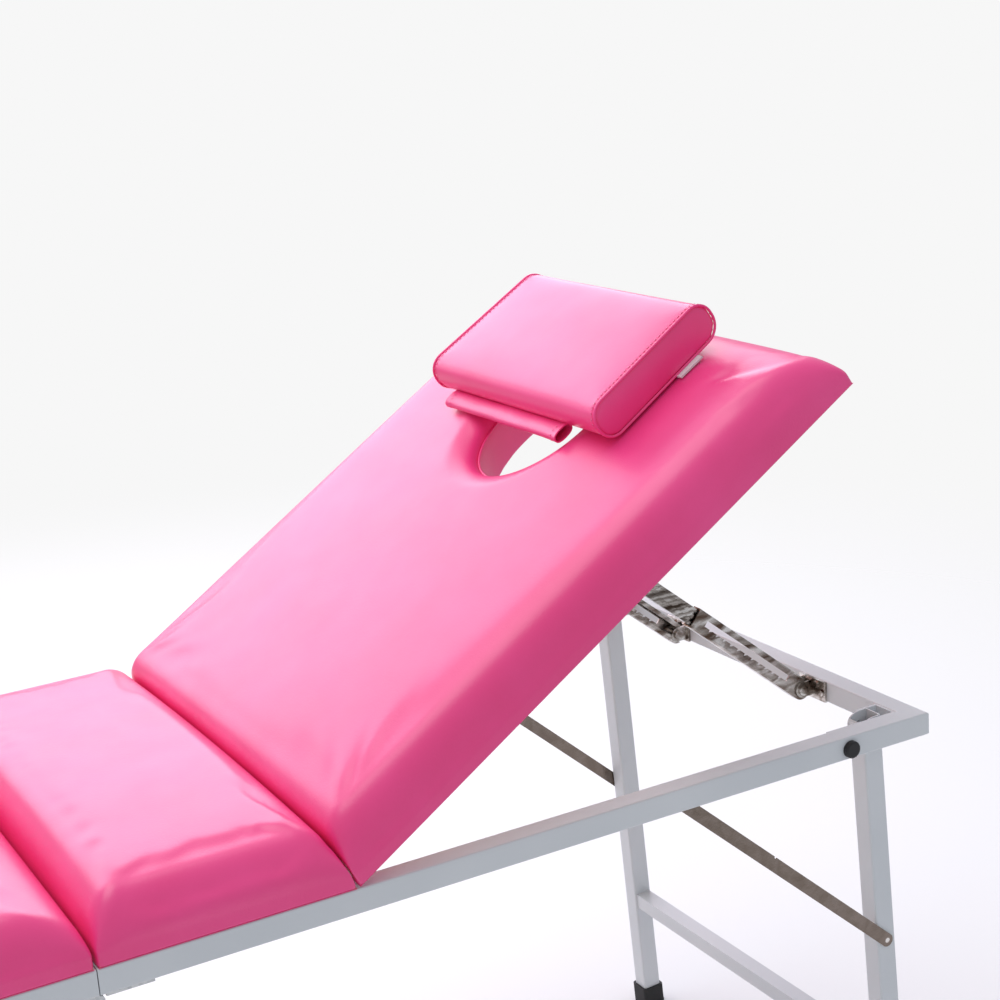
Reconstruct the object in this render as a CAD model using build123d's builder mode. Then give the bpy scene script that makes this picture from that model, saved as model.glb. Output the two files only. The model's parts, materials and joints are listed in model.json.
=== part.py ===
"""Folding treatment table with a lifting backrest.

Millimetres, +Z up.  The origin is on the floor under the middle of the table, +X points to
the head end and -Y to the near side.  The two halves of the frame meet at X = 0.
"""
from build123d import *
from math import cos, radians, sin, tan
import os

# --- driving dimensions -------------------------------------------------------------------
half_length = 930.0
width = 600.0
rail_top = 600.0
tube = 25.0
wall = 1.5
fold_gap = 1.0
corner_radius = 2.5
long_edge_radius = 2.0

# cushions: upright edge, steep shoulder, then a slow crown to the middle
pad_width = 602.0
board_thickness = 12.0
pad_edge = 13.0
shoulder_width = 33.0
shoulder_rise = 52.0
crown = 7.0
roll_over_crown = 1.5
end_roll = 76.0
crease_roll = 30.0
crease_rise = 34.0
skin = 2.0
pad_clearance = 1.0
seat_crease_gap = 1.7
seat_crease_slope = 22.0
back_crease_gap = 2.6
back_crease_slope = 10.5

# backrest
backrest_angle = 32.73
backrest_axis_x = 250.0
backrest_axis_z = 596.0
backrest_length = 701.0
face_hole_centre = 515.0
face_hole_top = (171.0, 154.0)
face_hole_bottom = (206.0, 192.0)

# pillow
pillow_start = 493.0
pillow_length = 183.0
pillow_foot_side = (-170.0, 180.0)
pillow_head_side = (-166.0, 164.0)
pillow_height = 46.0
pillow_gap = 0.4
pillow_corner = 14.0
pillow_top_round = 12.0
pillow_bottom_round = 7.0
strap_side = (-97.0, 146.0)
strap_depth = 18.0
strap_height = 14.0
tab_size = (33.0, 11.0, 2.2)
tab_u = 617.5
tab_y = -168.5

# legs
leg_splay = 3.15
leg_pivot_inset = 54.0
bolt_inset = 108.0
bolt_rise = 1.5
bracket_length = 93.0
bracket_height = 21.0
bracket_steel = 2.5
bracket_eye = 11.5
cap_radius = 9.5
cap_height = 6.0
cap_round = 2.5
pin_head = 3.5
pin_head_radius = 7.0
bolt_head = 0.7
bolt_head_radius = 7.0
leg_pivot_z = 585.0
head_leg_offset = 28.6
foot_leg_offset = 60.4
leg_top_reach = 14.2
crossbar_tube = 20.0
crossbar_distance = 420.0
foot_size = 31.0
foot_height = 30.0
foot_sole = 8.0
pivot_radius = 4.0
running_gap = 0.05

# folding stays
stay_width = 15.0
stay_thickness = 1.5
stay_gap = 0.2
stay_frame_reach = 268.0
stay_leg_reach = 256.0
notch_to_joint = 14.0
notch_size = (3.5, 3.0)
spacer_radius = 8.0
rivet_radius = 3.0

# ratchet struts
strut_y = 125.0
strut_pivot_inset = 41.0
strut_pivot_z = 587.0
strut_head_u = 424.0
strut_head_h = -8.0
channel_length = 184.0
channel_width = 24.0
channel_depth = 14.0
channel_wall = 1.5
channel_eye = 12.5
bar_length = 196.0
bar_width = 19.0
bar_depth = 8.0
tooth_count = 11
tooth_pitch = 12.0
tooth_length = 8.0
tooth_depth = 5.5
lip_gap = 13.0
eye_radius = 8.0
ear = 2.2
ear_gap = 0.3
foot_plate = (3.0, 46.0, 24.0)
foot_plate_shift = 10.0
foot_ear_radius = 9.0
strut_pin_head = 3.0
strut_pin_head_radius = 6.0
strut_screw_places = ((17.0, 6.0), (27.0, -2.0))
screw_head = 2.0
screw_head_radius = 4.0
slot_start = 26.0
slot_width = 7.0
groove_offset = 4.2
groove_width = 3.6
groove_depth = 1.6
head_flange = (40.0, 17.0, 2.5)
head_rivet_radius = 4.5
head_rivet_height = 2.0

# centre hinge
fold_axis_z = 570.0
knuckle_radius = 4.5
hinge_pin_radius = 2.0
leaf_thickness = 2.5
leaf_tongue = 8.0
fold_leaf_width = 22.0
fold_leaf_length = 44.0
fold_leaf_middle = 28.0
fold_segment = 7.0
fold_segment_pitch = 7.5
fold_screws = (20.0, 40.0)

# backrest hinges
hinge_ys = (-200.0, 200.0)
leaf_width = 60.0
leaf_drop = 11.0
fixed_leaf_height = 14.0
tongue_height = 10.0
segment = 11.6
fixed_segments = (-12.0, 12.0)
moving_segments = (-24.0, 0.0, 24.0)

rail_bottom = rail_top - tube
rail_mid = rail_top - tube / 2
inner_face = width / 2 - tube
pad_bottom = rail_top + pad_clearance
pad_height = pad_edge + shoulder_rise + crown
pad_top_h = pad_bottom - backrest_axis_z + pad_height

lean = radians(backrest_angle)
recline = Plane(
    origin=(backrest_axis_x, 0, backrest_axis_z),
    x_dir=(cos(lean), 0, sin(lean)),
    z_dir=(-sin(lean), 0, cos(lean)),
)
level = Plane(origin=(0, 0, 0))
sides = ((-1, "near"), (1, "far"))
ends = ((1, "head"), (-1, "foot"))

os.makedirs("parts", exist_ok=True)


def side_view(plane, y=0.0):
    """The upright plane through y that shows a panel's length and height."""
    return Plane(origin=plane.from_local_coords((0, y, 0)), x_dir=plane.x_dir, z_dir=-plane.y_dir)


def save(part, name):
    part.label = name
    export_step(part, f"parts/{name}.step")


def facing(place, side=1):
    """An upright plane at place that faces the far side, or the near side for side = -1."""
    return Plane(place, x_dir=(1, 0, 0), z_dir=(0, side, 0))


# --- frame rails --------------------------------------------------------------------------
def frame_holes(end, side):
    """Holes for the bracket bolt and the stay rivet in one side rail."""
    bolt = (end * (half_length - bolt_inset), leg_pivot_z + bolt_rise, rivet_radius, 2 * tube)
    stay_pivot_x = end * (half_length - leg_pivot_inset - stay_frame_reach)
    rivet = (stay_pivot_x, leg_pivot_z, rivet_radius, tube / 2)
    for x, z, radius, depth in (bolt, rivet):
        with Locations(facing((x, side * inner_face, z))):
            Cylinder(radius, depth * 1.2, mode=Mode.SUBTRACT)


for end, half in ends:
    for side, where in sides:
        with BuildPart() as rail:
            with BuildSketch(Plane.XY.offset(rail_bottom)):
                with BuildLine():
                    Polyline(
                        (end * fold_gap / 2, side * width / 2),
                        (end * half_length, side * width / 2),
                        (end * (half_length - tube), side * inner_face),
                        (end * fold_gap / 2, side * inner_face),
                        close=True,
                    )
                make_face()
            extrude(amount=tube)
            fillet(rail.edges().filter_by(Axis.X), long_edge_radius)
            bore_middle = end * (half_length / 2 + wall + fold_gap / 2)
            with Locations((bore_middle, side * (width - tube) / 2, rail_mid)):
                Box(half_length, tube - 2 * wall, tube - 2 * wall, mode=Mode.SUBTRACT)
            frame_holes(end, side)
        save(rail.part, f"{half}_rail_{where}")

    with BuildPart() as end_rail:
        with BuildSketch(Plane.XY.offset(rail_bottom)):
            with BuildLine():
                Polyline(
                    (end * half_length, -width / 2),
                    (end * half_length, width / 2),
                    (end * (half_length - tube), inner_face),
                    (end * (half_length - tube), -inner_face),
                    close=True,
                )
            make_face()
        extrude(amount=tube)
        fillet(end_rail.edges().filter_by(Axis.Y), long_edge_radius)
        with Locations((end * (half_length - tube / 2), 0, rail_mid)):
            Box(tube - 2 * wall, width, tube - 2 * wall, mode=Mode.SUBTRACT)
    save(end_rail.part, f"{half}_end_rail")

    with BuildPart() as fold_rail:
        with Locations((end * (fold_gap + tube) / 2, 0, rail_mid)):
            Box(tube, 2 * inner_face, tube)
            fillet(fold_rail.edges().filter_by(Axis.Y), long_edge_radius)
            Box(tube - 2 * wall, 2 * inner_face, tube - 2 * wall, mode=Mode.SUBTRACT)
    save(fold_rail.part, f"{half}_fold_rail")

backrest_rail_x = backrest_axis_x - 7.0 - tube / 2
with BuildPart() as backrest_rail:
    with Locations((backrest_rail_x, 0, rail_mid)):
        Box(tube, 2 * inner_face, tube)
        fillet(backrest_rail.edges().filter_by(Axis.Y), long_edge_radius)
        Box(tube - 2 * wall, 2 * inner_face, tube - 2 * wall, mode=Mode.SUBTRACT)
save(backrest_rail.part, "backrest_rail")


# --- cushions: plywood board, foam and sewn vinyl cover ------------------------------------
def roll_over(start, end, lean_in=0.0):
    """A quarter curve that leaves start upright, or leaning in, and meets end level."""
    bend = 0.55
    rise = bend * (end[1] - start[1])
    low = (start[0] + rise * lean_in, start[1] + rise)
    high = (end[0] - bend * (end[0] - start[0]), end[1])
    return Bezier(start, low, high, end)


def pad_block(plane, start, end, crease_slope, bottom, inset, hole=False):
    """A cushion's outline, or the inside of its cover when inset is the skin."""
    top = bottom + pad_height - inset
    shoulder_top = top - crown
    over_crown = top + roll_over_crown
    left = start + inset
    right = end - inset
    half = pad_width / 2 - inset
    lean_in = tan(radians(crease_slope))
    if crease_slope:
        left_base = top - crease_rise
        left_edge = (left + (left_base - bottom) * lean_in, left_base)
        left_top = (left_edge[0] + crease_roll, over_crown)
    else:
        left_edge = (left, bottom + pad_edge)
        left_top = (left + end_roll, over_crown)
    right_edge = (right, bottom + pad_edge)
    right_top = (right - end_roll, over_crown)
    if not hole and crease_slope:
        right_top = (right - crease_roll, over_crown)
    with BuildPart() as block:
        with BuildSketch(side_view(plane)):
            with BuildLine():
                Line((left, bottom), left_edge)
                roll_over(left_edge, left_top, lean_in)
                Line(left_top, right_top)
                roll_over(right_edge, right_top)
                Polyline(right_edge, (right, bottom), (left, bottom))
            make_face()
        extrude(amount=half, both=True)
        across = Plane(origin=plane.origin, x_dir=plane.y_dir, z_dir=plane.x_dir)
        level_half = half - shoulder_width
        with BuildSketch(across):
            with BuildLine():
                Line((-half, bottom), (-half, bottom + pad_edge))
                roll_over((-half, bottom + pad_edge), (-level_half, shoulder_top))
                ThreePointArc((-level_half, shoulder_top), (0, top), (level_half, shoulder_top))
                roll_over((half, bottom + pad_edge), (level_half, shoulder_top))
                Polyline((half, bottom + pad_edge), (half, bottom), (-half, bottom))
            make_face()
        extrude(amount=half_length + tube, both=True, mode=Mode.INTERSECT)
        if hole:
            for height, size in ((bottom, face_hole_bottom), (bottom + pad_height, face_hole_top)):
                with BuildSketch(plane.offset(height)):
                    with Locations((face_hole_centre, 0)):
                        Ellipse(size[0] / 2 + inset, size[1] / 2 + inset)
            loft(mode=Mode.SUBTRACT)
    return block.part


def make_pad(name, plane, start, end, crease_slope, bottom, hole=False):
    """One upholstered panel as its three pieces."""
    outside = pad_block(plane, start, end, crease_slope, bottom, 0.0, hole)
    inside = pad_block(plane, start, end, crease_slope, bottom, skin, hole)
    middle = plane.from_local_coords(((start + end) / 2, 0, bottom + board_thickness / 2))
    slab = Plane(origin=middle, x_dir=plane.x_dir, z_dir=plane.z_dir)

    with BuildPart() as board:
        add(inside)
        with Locations(slab):
            Box(2 * half_length, width + tube, board_thickness, mode=Mode.INTERSECT)
    save(board.part, f"{name}_board")

    with BuildPart() as foam:
        add(inside)
        with Locations(slab):
            Box(2 * half_length, width + tube, board_thickness, mode=Mode.SUBTRACT)
    save(foam.part, f"{name}_foam")

    with BuildPart() as cover:
        add(outside)
        add(inside, mode=Mode.SUBTRACT)
    save(cover.part, f"{name}_cover")


backrest_bottom = pad_bottom - backrest_axis_z
make_pad("backrest", recline, back_crease_gap, backrest_length, back_crease_slope, backrest_bottom, hole=True)
make_pad("leg_section", level, -half_length, -fold_gap, 0.0, pad_bottom)

# the seat's leaning end faces the backrest, so it is drawn from the crease towards the foot
seat_view = Plane(origin=(backrest_axis_x, 0, 0), x_dir=(-1, 0, 0), z_dir=(0, 0, 1))
make_pad("seat", seat_view, seat_crease_gap, backrest_axis_x - fold_gap, seat_crease_slope, pad_bottom)

# --- pillow -------------------------------------------------------------------------------
pillow_h = pad_top_h + pillow_gap


def pillow_block(inset):
    rise = Axis(recline.origin, recline.z_dir)
    foot_end = pillow_start + inset
    head_end = pillow_start + pillow_length - inset
    with BuildPart() as block:
        with BuildSketch(recline.offset(pillow_h + inset)) as outline:
            with BuildLine():
                Polyline(
                    (foot_end, pillow_foot_side[0] + inset),
                    (head_end, pillow_head_side[0] + inset),
                    (head_end, pillow_head_side[1] - inset),
                    (foot_end, pillow_foot_side[1] - inset),
                    close=True,
                )
            make_face()
            fillet(outline.vertices(), pillow_corner - inset)
        extrude(amount=pillow_height - 2 * inset)
        fillet(block.edges().group_by(rise)[-1], pillow_top_round - inset)
        fillet(block.edges().group_by(rise)[0], pillow_bottom_round - inset)
    return block.part


pillow_outside = pillow_block(0.0)
pillow_inside = pillow_block(skin)

with BuildPart() as pillow_foam:
    add(pillow_inside)
save(pillow_foam.part, "pillow_foam")

with BuildPart() as pillow_cover:
    add(pillow_outside)
    add(pillow_inside, mode=Mode.SUBTRACT)
save(pillow_cover.part, "pillow_cover")

strap_mid = (pillow_start - strap_depth / 2, pillow_h + strap_height / 2)
with BuildPart() as pillow_strap:
    with BuildSketch(side_view(recline, strap_side[1])):
        with Locations(strap_mid):
            RectangleRounded(strap_depth, strap_height, strap_height / 2 - 0.5)
            RectangleRounded(strap_depth - 2 * skin, strap_height - 2 * skin, strap_height / 2 - 0.5 - skin,
                             mode=Mode.SUBTRACT)
    extrude(amount=strap_side[1] - strap_side[0])
save(pillow_strap.part, "pillow_strap")

tab_place = recline.from_local_coords((tab_u, tab_y, pillow_h - tab_size[2] / 2))
with BuildPart() as pillow_tab:
    with Locations(Plane(origin=tab_place, x_dir=recline.x_dir, z_dir=recline.z_dir)):
        Box(*tab_size)
save(pillow_tab.part, "pillow_tab")


# --- legs ---------------------------------------------------------------------------------
def leg_direction(end):
    return Vector(end * sin(radians(leg_splay)), 0, -cos(radians(leg_splay)))


def leg_plane(end, y, distance=0.0):
    """The plane square to a leg, a distance below its pivot."""
    down = leg_direction(end)
    pivot = Vector(end * (half_length - leg_pivot_inset), y, leg_pivot_z)
    return Plane(origin=pivot + down * distance, x_dir=(-down.Z, 0, down.X), z_dir=down)


leg_length = leg_pivot_z / cos(radians(leg_splay))
leg_offsets = {"head": head_leg_offset, "foot": foot_leg_offset}

for end, half in ends:
    leg_y = width / 2 - leg_offsets[half] - tube / 2
    pivot_x = end * (half_length - leg_pivot_inset)
    foot_x = pivot_x + end * leg_pivot_z * tan(radians(leg_splay))

    for side, where in sides:
        across = facing((pivot_x, side * leg_y, leg_pivot_z))
        rivet_at = leg_plane(end, side * (leg_y + tube / 2), stay_leg_reach).origin
        with BuildPart() as leg:
            with BuildSketch(leg_plane(end, side * leg_y, -leg_top_reach)):
                RectangleRounded(tube, tube, corner_radius)
                Rectangle(tube - 2 * wall, tube - 2 * wall, mode=Mode.SUBTRACT)
            extrude(amount=leg_length + leg_top_reach)
            with Locations((foot_x, side * leg_y, 0)):
                Box(3 * tube, 3 * tube, 2 * foot_sole, mode=Mode.SUBTRACT)
            # the corner that swings up as the leg folds is rounded about the pivot
            with BuildSketch(facing((pivot_x, side * leg_y, leg_pivot_z), -1)):
                with Locations((-end * tube, tube)):
                    Rectangle(2 * tube, 2 * tube)
                Circle(leg_top_reach, mode=Mode.SUBTRACT)
            extrude(amount=tube, both=True, mode=Mode.SUBTRACT)
            with Locations(across):
                Cylinder(pivot_radius + running_gap, 2 * tube, mode=Mode.SUBTRACT)
            with Locations(facing(rivet_at)):
                Cylinder(rivet_radius, 4 * wall, mode=Mode.SUBTRACT)
        save(leg.part, f"{half}_leg_{where}")

    with BuildPart() as feet:
        for side, where in sides:
            with BuildSketch(leg_plane(end, side * leg_y, leg_length - foot_height)):
                RectangleRounded(foot_size, foot_size, 4.0)
            extrude(amount=foot_height + foot_size)
            with BuildSketch(leg_plane(end, side * leg_y, leg_length - foot_height - 1)):
                RectangleRounded(tube, tube, corner_radius)
            extrude(amount=foot_height - foot_sole + 1 + tube / 2, mode=Mode.SUBTRACT)
        for side, where in sides:
            with Locations((foot_x, side * leg_y, foot_sole / 2)):
                Box(foot_size - 2, foot_size - 2, foot_sole)
            with Locations((foot_x, side * leg_y, -foot_size)):
                Box(3 * foot_size, 3 * foot_size, 2 * foot_size, mode=Mode.SUBTRACT)
    save(feet.part, f"{half}_feet")

    bar_half = leg_y - tube / 2
    with BuildPart() as crossbar:
        middle = leg_plane(end, 0, crossbar_distance)
        with BuildSketch(Plane(middle.origin, x_dir=middle.x_dir, z_dir=(0, 1, 0))):
            Rectangle(crossbar_tube, crossbar_tube)
            Rectangle(crossbar_tube - 2 * wall, crossbar_tube - 2 * wall, mode=Mode.SUBTRACT)
        extrude(amount=bar_half, both=True)
    save(crossbar.part, f"{half}_crossbar")

    # pressed bracket: a plate along the rail, two cheeks round the leg, a web on the end rail
    outer_cheek = leg_y + tube / 2 + 1.1
    inner_cheek = leg_y - tube / 2 - 0.9 - bracket_steel
    web_x = end * (half_length - tube - bracket_steel / 2)
    plate_x = end * (half_length - tube - bracket_length / 2)
    plate_z = rail_top - 1.0 - bracket_height / 2
    reach = leg_pivot_inset - tube
    bolt_x = end * (half_length - bolt_inset)
    bolt_z = leg_pivot_z + bolt_rise
    nut_face = inner_face - bracket_steel
    with BuildPart() as brackets:
        for side, where in sides:
            with Locations((plate_x, side * (inner_face - bracket_steel / 2), plate_z)):
                Box(bracket_length, bracket_steel, bracket_height)
            with Locations((web_x, side * (inner_face + inner_cheek) / 2, plate_z)):
                Box(bracket_steel, inner_face - inner_cheek, bracket_height)
            for cheek_y in (outer_cheek, inner_cheek):
                cheek_middle = side * (cheek_y + bracket_steel / 2)
                with BuildSketch(facing((pivot_x, cheek_middle, leg_pivot_z), -1)):
                    Circle(bracket_eye)
                    with Locations((end * reach / 2, plate_z - leg_pivot_z)):
                        Rectangle(reach, bracket_height)
                extrude(amount=bracket_steel / 2, both=True)
            with Locations(facing((pivot_x, side * leg_y, leg_pivot_z))):
                Cylinder(pivot_radius, 3 * tube, mode=Mode.SUBTRACT)
            with Locations(facing((bolt_x, side * inner_face, bolt_z))):
                Cylinder(rivet_radius, 3 * bracket_steel, mode=Mode.SUBTRACT)
    save(brackets.part, f"{half}_leg_brackets")

    with BuildPart() as leg_pins:
        for side, where in sides:
            pin_in = inner_cheek - pin_head
            with BuildSketch(facing((pivot_x, side * pin_in, leg_pivot_z), side)):
                Circle(pivot_radius)
            extrude(amount=outer_cheek + bracket_steel - pin_in)
            with BuildSketch(facing((pivot_x, side * pin_in, leg_pivot_z), side)):
                RegularPolygon(pin_head_radius, 6)
            extrude(amount=pin_head)
    save(leg_pins.part, f"{half}_leg_pins")

    # the folded leg lies against these bolts, so their inner heads are thin discs
    with BuildPart() as bolts:
        for side, where in sides:
            head_face = nut_face - bolt_head
            with BuildSketch(facing((bolt_x, side * head_face, bolt_z), side)):
                Circle(rivet_radius)
            extrude(amount=tube + bracket_steel + bolt_head)
            with BuildSketch(facing((bolt_x, side * head_face, bolt_z), side)):
                Circle(bolt_head_radius)
            extrude(amount=bolt_head)
    save(bolts.part, f"{half}_bracket_bolts")

    with BuildPart() as caps:
        for side, where in sides:
            with BuildSketch(facing((bolt_x, side * width / 2, bolt_z), side)):
                Circle(cap_radius)
            extrude(amount=cap_height)
            outermost = caps.faces().filter_by(Axis.Y).sort_by(Axis.Y)[-1 if side > 0 else 0]
            fillet(outermost.edges(), cap_round)
    save(caps.part, f"{half}_bolt_caps")

    # --- folding stays: an upper link on the rail and a lower link on the leg ------------
    frame_end = Vector(end * (half_length - leg_pivot_inset - stay_frame_reach), 0, leg_pivot_z)
    leg_end = leg_plane(end, 0, stay_leg_reach).origin
    span = leg_end - frame_end
    # folded flat the two links lie in one line, so they differ by the two reaches' difference
    upper_length = (span.length - (stay_frame_reach - stay_leg_reach)) / 2
    lower_length = span.length - upper_length
    lower_layer = leg_y + tube / 2 + stay_gap
    upper_layer = lower_layer + stay_thickness + stay_gap
    rivet_root = inner_face + wall
    layers = (
        ("upper", frame_end, upper_length, upper_layer, span),
        ("lower", leg_end, lower_length, lower_layer, -span),
    )
    for link, start, length, layer, along in layers:
        direction = along.normalized()
        with BuildPart() as stay:
            for side, where in sides:
                middle = start + direction * (length / 2) + Vector(0, side * layer, 0)
                with BuildSketch(Plane(middle, x_dir=direction, z_dir=(0, side, 0))):
                    SlotCenterToCenter(length, stay_width)
                    with Locations((-length / 2, 0)):
                        Circle(rivet_radius + running_gap, mode=Mode.SUBTRACT)
                    if link == "upper":
                        with Locations((length / 2 - notch_to_joint, stay_width / 2)):
                            Rectangle(*notch_size, mode=Mode.SUBTRACT)
                extrude(amount=stay_thickness)
        save(stay.part, f"{half}_stay_{link}")

    with BuildPart() as frame_rivets:
        for side, where in sides:
            top = facing(frame_end + Vector(0, side * upper_layer, 0), side)
            with BuildSketch(top):
                Circle(rivet_radius)
            extrude(amount=rivet_root - upper_layer)
            if half == "foot":
                # the foot legs stand further in, so their stays hang on a spacer
                with BuildSketch(top.offset(stay_thickness + stay_gap)):
                    Circle(spacer_radius)
                extrude(amount=inner_face - upper_layer - stay_thickness - stay_gap)
    save(frame_rivets.part, f"{half}_stay_frame_rivets")

    with BuildPart() as leg_rivets:
        for side, where in sides:
            place = leg_end + Vector(0, side * (leg_y + tube / 2 - wall), 0)
            with BuildSketch(facing(place, side)):
                Circle(rivet_radius)
            extrude(amount=wall + stay_gap + stay_thickness)
    save(leg_rivets.part, f"{half}_stay_leg_rivets")

    # --- centre hinge leaf on the underside of each rail ---------------------------------
    with BuildPart() as fold_leaf:
        for side, where in sides:
            y = side * (width - tube) / 2
            with Locations((end * fold_leaf_middle, y, rail_bottom - leaf_thickness / 2)):
                Box(fold_leaf_length, fold_leaf_width, leaf_thickness)
            shifts = (0.0,) if half == "head" else (-fold_segment_pitch, fold_segment_pitch)
            for shift in shifts:
                with Locations((end * leaf_tongue / 2, y + shift, rail_bottom - leaf_thickness / 2)):
                    Box(leaf_tongue, fold_segment, leaf_thickness)
                with Locations(facing((0, y + shift, fold_axis_z))):
                    Cylinder(knuckle_radius, fold_segment)
                    bore = hinge_pin_radius if half == "head" else hinge_pin_radius + running_gap
                    Cylinder(bore, fold_segment, mode=Mode.SUBTRACT)
            for screw_x in fold_screws:
                screw_place = (end * screw_x, y, rail_bottom - leaf_thickness)
                with Locations(Plane(screw_place, x_dir=(1, 0, 0), z_dir=(0, 0, -1))):
                    CounterSinkHole(1.8, 3.4, 5.0)
    save(fold_leaf.part, f"fold_hinge_{half}")

with BuildPart() as fold_pins:
    for side, where in sides:
        with Locations(facing((0, side * (width - tube) / 2, fold_axis_z))):
            Cylinder(hinge_pin_radius, fold_leaf_width)
save(fold_pins.part, "fold_hinge_pins")

# --- backrest hinges ----------------------------------------------------------------------

def knuckles(y, shifts, bore):
    for shift in shifts:
        with Locations(facing((backrest_axis_x, y + shift, backrest_axis_z))):
            Cylinder(knuckle_radius, segment)
            Cylinder(bore, segment, mode=Mode.SUBTRACT)


rail_face = backrest_rail_x + tube / 2
with BuildPart() as backrest_hinge_fixed:
    for y in hinge_ys:
        with Locations((rail_face + leaf_thickness / 2, y, backrest_axis_z - leaf_drop)):
            Box(leaf_thickness, leaf_width, fixed_leaf_height)
        for shift in fixed_segments:
            with Locations((rail_face + leaf_thickness / 2, y + shift, backrest_axis_z - tongue_height / 2)):
                Box(leaf_thickness, segment, tongue_height)
        knuckles(y, fixed_segments, hinge_pin_radius)
save(backrest_hinge_fixed.part, "backrest_hinge_fixed")

with BuildPart() as backrest_hinge_pins:
    for y in hinge_ys:
        with Locations(facing((backrest_axis_x, y, backrest_axis_z))):
            Cylinder(hinge_pin_radius, leaf_width)
save(backrest_hinge_pins.part, "backrest_hinge_pins")

with BuildPart() as backrest_hinge_moving:
    for y in hinge_ys:
        place = recline.from_local_coords((fold_leaf_middle, y, backrest_bottom - leaf_thickness / 2))
        with Locations(Plane(place, x_dir=recline.x_dir, z_dir=recline.z_dir)):
            Box(fold_leaf_length, leaf_width, leaf_thickness)
        for shift in moving_segments:
            tongue_h = backrest_bottom - leaf_thickness / 2
            place = recline.from_local_coords((leaf_tongue / 2, y + shift, tongue_h))
            with Locations(Plane(place, x_dir=recline.x_dir, z_dir=recline.z_dir)):
                Box(leaf_tongue, segment, leaf_thickness)
        knuckles(y, moving_segments, hinge_pin_radius + running_gap)
save(backrest_hinge_moving.part, "backrest_hinge_moving")

# --- ratchet struts -----------------------------------------------------------------------
strut_foot_at = Vector(half_length - strut_pivot_inset, 0, strut_pivot_z)
strut_head_at = recline.from_local_coords((strut_head_u, 0, strut_head_h))
strut_line = strut_head_at - strut_foot_at
strut_length = strut_line.length
print("strut length raised", round(strut_length, 3))


def strut_plane(side, y=0.0):
    """Along the strut, upwards across it, seen from its outer side."""
    return Plane(
        origin=strut_foot_at + Vector(0, side * (strut_y + y), 0),
        x_dir=strut_line.normalized(),
        z_dir=(0, side, 0),
    )


strut_pivot_x = half_length - strut_pivot_inset
with BuildPart() as strut_feet:
    for side, where in sides:
        foot_plate_x = half_length - tube - foot_plate[0] / 2
        with Locations((foot_plate_x, side * (strut_y + foot_plate_shift), strut_pivot_z)):
            Box(*foot_plate)
        for shift in (-1, 1):
            ear_y = side * strut_y + shift * (channel_depth / 2 + ear_gap + ear / 2)
            ear_reach = strut_pivot_inset - tube - 1
            with BuildSketch(facing((strut_pivot_x, ear_y, strut_pivot_z))):
                Circle(foot_ear_radius)
                with Locations((ear_reach / 2, 0)):
                    Rectangle(ear_reach, 2 * foot_ear_radius)
            extrude(amount=ear / 2, both=True)
        with Locations(facing((strut_pivot_x, side * strut_y, strut_pivot_z))):
            Cylinder(pivot_radius, 2 * channel_depth, mode=Mode.SUBTRACT)
save(strut_feet.part, "strut_feet")

with BuildPart() as strut_pins:
    pin_length = channel_depth + 2 * (ear_gap + ear)
    for side, where in sides:
        with Locations(facing((strut_pivot_x, side * strut_y, strut_pivot_z))):
            Cylinder(pivot_radius, pin_length)
            head_middle = (pin_length + strut_pin_head) / 2
            with Locations((0, 0, head_middle), (0, 0, -head_middle)):
                Cylinder(strut_pin_head_radius, strut_pin_head)
save(strut_pins.part, "strut_pins")

with BuildPart() as strut_screws:
    for side, where in sides:
        for shift, rise in strut_screw_places:
            place = (half_length - tube - foot_plate[0], side * (strut_y + shift), strut_pivot_z + rise)
            with BuildSketch(Plane(place, x_dir=(0, 1, 0), z_dir=(-1, 0, 0))):
                Circle(screw_head_radius)
            extrude(amount=screw_head)
save(strut_screws.part, "strut_screws")

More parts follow.
